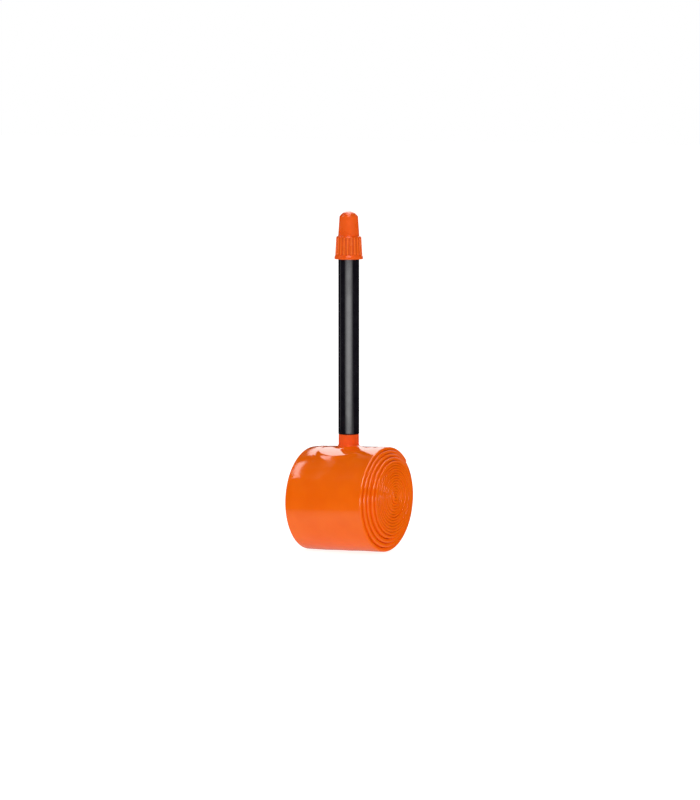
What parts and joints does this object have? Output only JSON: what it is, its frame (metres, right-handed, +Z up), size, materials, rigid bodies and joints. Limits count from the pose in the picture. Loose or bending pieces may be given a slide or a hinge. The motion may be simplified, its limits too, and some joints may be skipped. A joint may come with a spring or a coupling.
{
  "type": "bicycle inner tube",
  "caption": "Thin plastic bicycle inner tube pressed flat, folded double and rolled up tight, with a long smooth narrow valve and its fluted dust cap standing upright on the roll",
  "frame": {"origin": "middle of the flat underside that the roll rests on, straight below the valve's axis", "axes": "+Z up along the valve's stem; X along the roll's axis, +X towards the end whose inner turns stand proud; +Y towards the back, where the rolled tube's folded end lies"},
  "size_m": [0.0277, 0.0299, 0.098],
  "materials": {
    "tube_film": "glossy orange thermoplastic film",
    "orange_moulding": "satin orange moulding",
    "stem_plastic": "smooth black moulded plastic",
    "insert_metal": "nickel-plated brass",
    "core_metal": "turned brass",
    "seal_rubber": "matt black rubber",
    "cap_plastic": "satin orange moulded plastic"
  },
  "bodies": {
    "tube": {"tube_roll": "tube_film", "valve_foot": "orange_moulding", "valve_stem": "stem_plastic", "stem_insert": "insert_metal", "core_body": "core_metal", "core_gasket": "seal_rubber"},
    "pin": {"core_pin": "core_metal", "pin_seal": "seal_rubber", "seal_cup": "core_metal"},
    "nut": {"lock_nut": "insert_metal"},
    "cap": {"valve_cap": "cap_plastic"}
  },
  "joints": [
    {"name": "pin_press", "type": "slide", "parent": "tube", "child": "pin", "axis": [0, 0, -1], "range_m": [0, 0.0012]},
    {"name": "nut_lift", "type": "slide", "parent": "tube", "child": "nut", "axis": [0, 0, 1], "range_m": [0, 0.0012]},
    {"name": "cap_lift", "type": "slide", "parent": "tube", "child": "cap", "axis": [0, 0, 1], "range_m": [0, 0.03]}
  ]
}
